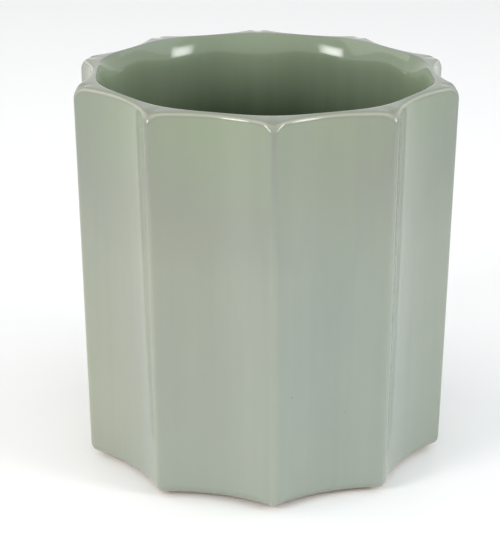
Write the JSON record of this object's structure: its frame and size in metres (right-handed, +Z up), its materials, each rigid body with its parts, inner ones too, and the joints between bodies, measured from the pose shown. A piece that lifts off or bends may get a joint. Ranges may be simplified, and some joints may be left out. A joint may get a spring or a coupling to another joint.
{
  "type": "brush holder pot",
  "caption": "Desk pot for writing brushes and pens: round cavity in a fluted, slightly tapered glazed ceramic vessel with a rolled lip, on rubber pads.",
  "frame": {"origin": "middle of the plane that the pads stand on, under the middle of the vessel", "axes": "+Z up along the vessel's axis, out of its mouth; -Y towards one arris of the fluted wall"},
  "size_m": [0.095, 0.0998, 0.1008],
  "materials": {
    "celadon_glaze": "gloss",
    "pad_rubber": "matt"
  },
  "bodies": {
    "root": {"pot_body": "celadon_glaze", "base_pad_front_left": "pad_rubber", "base_pad_front_right": "pad_rubber", "base_pad_back_left": "pad_rubber", "base_pad_back_right": "pad_rubber"}
  },
  "joints": []
}
